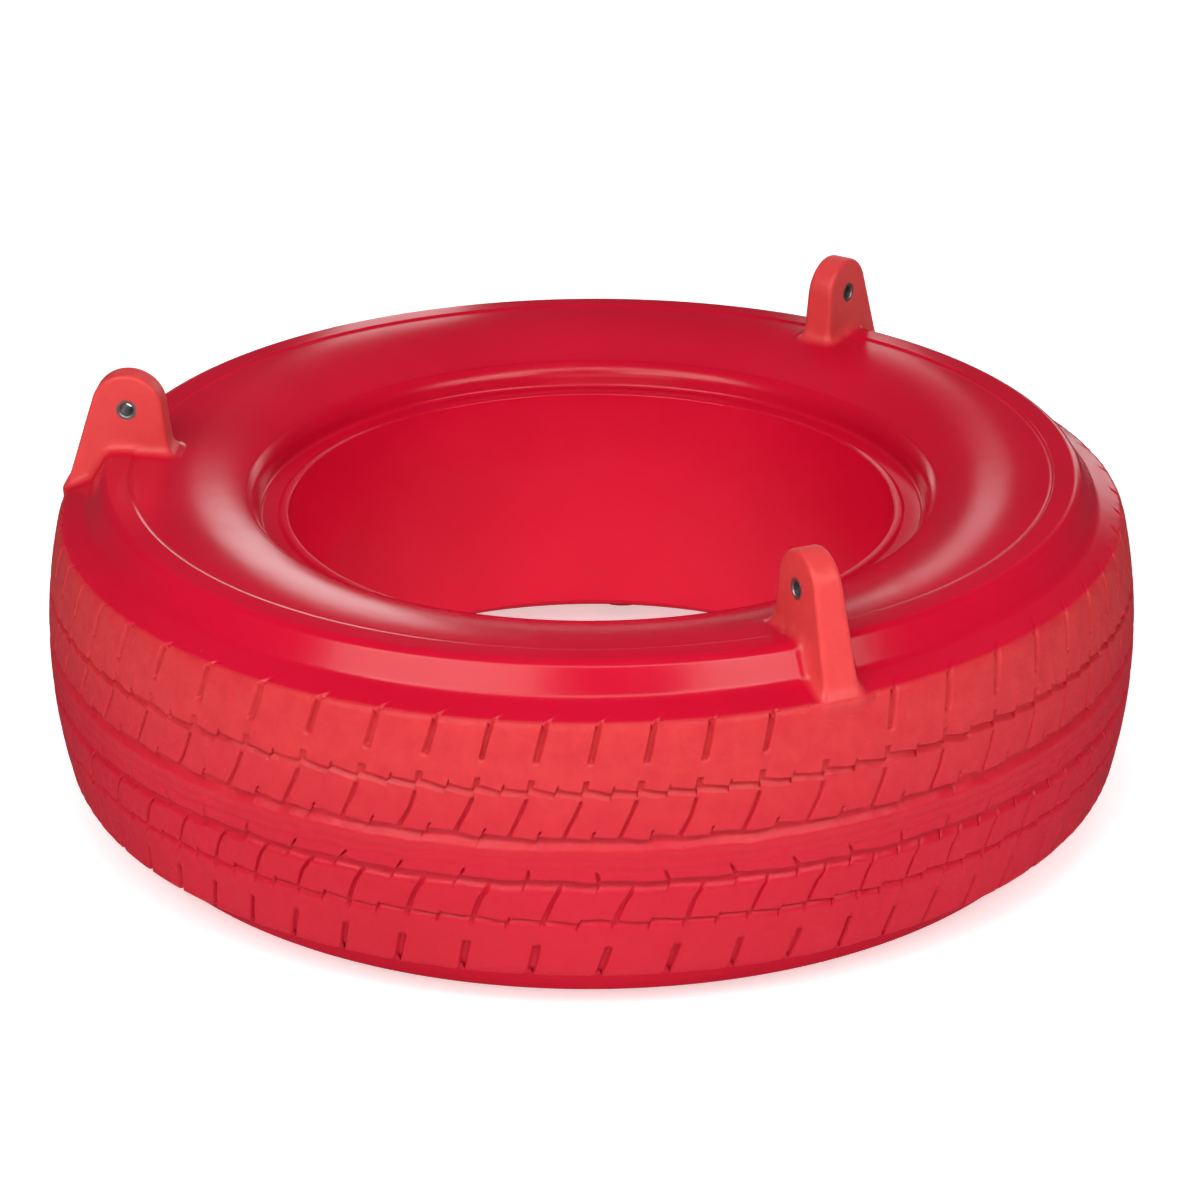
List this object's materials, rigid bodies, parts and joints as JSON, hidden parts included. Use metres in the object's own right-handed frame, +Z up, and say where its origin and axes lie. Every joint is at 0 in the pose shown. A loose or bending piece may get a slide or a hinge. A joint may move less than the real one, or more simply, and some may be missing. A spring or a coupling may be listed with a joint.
{
  "type": "tire swing",
  "caption": "Hollow moulded plastic tyre swing seat with upright hanging lugs, steel bushes for shackle pins and a flat rim to rest on.",
  "frame": {"origin": "on the tyre's axis, in the plane of the lower rim that it rests on", "axes": "+Z up along the tyre's axis, -X towards the first lug, +X midway between the other two lugs"},
  "size_m": [0.6599, 0.6596, 0.2505],
  "materials": {
    "shell_plastic": "glossy moulded polyethylene, pigmented right through",
    "bush_steel": "turned and zinc plated, slightly dull",
    "plug_plastic": "satin moulded plug"
  },
  "bodies": {
    "root": {"tyre_shell": "shell_plastic", "lug_bush_1": "bush_steel", "lug_bush_2": "bush_steel", "lug_bush_3": "bush_steel", "vent_plug": "plug_plastic"}
  },
  "joints": []
}
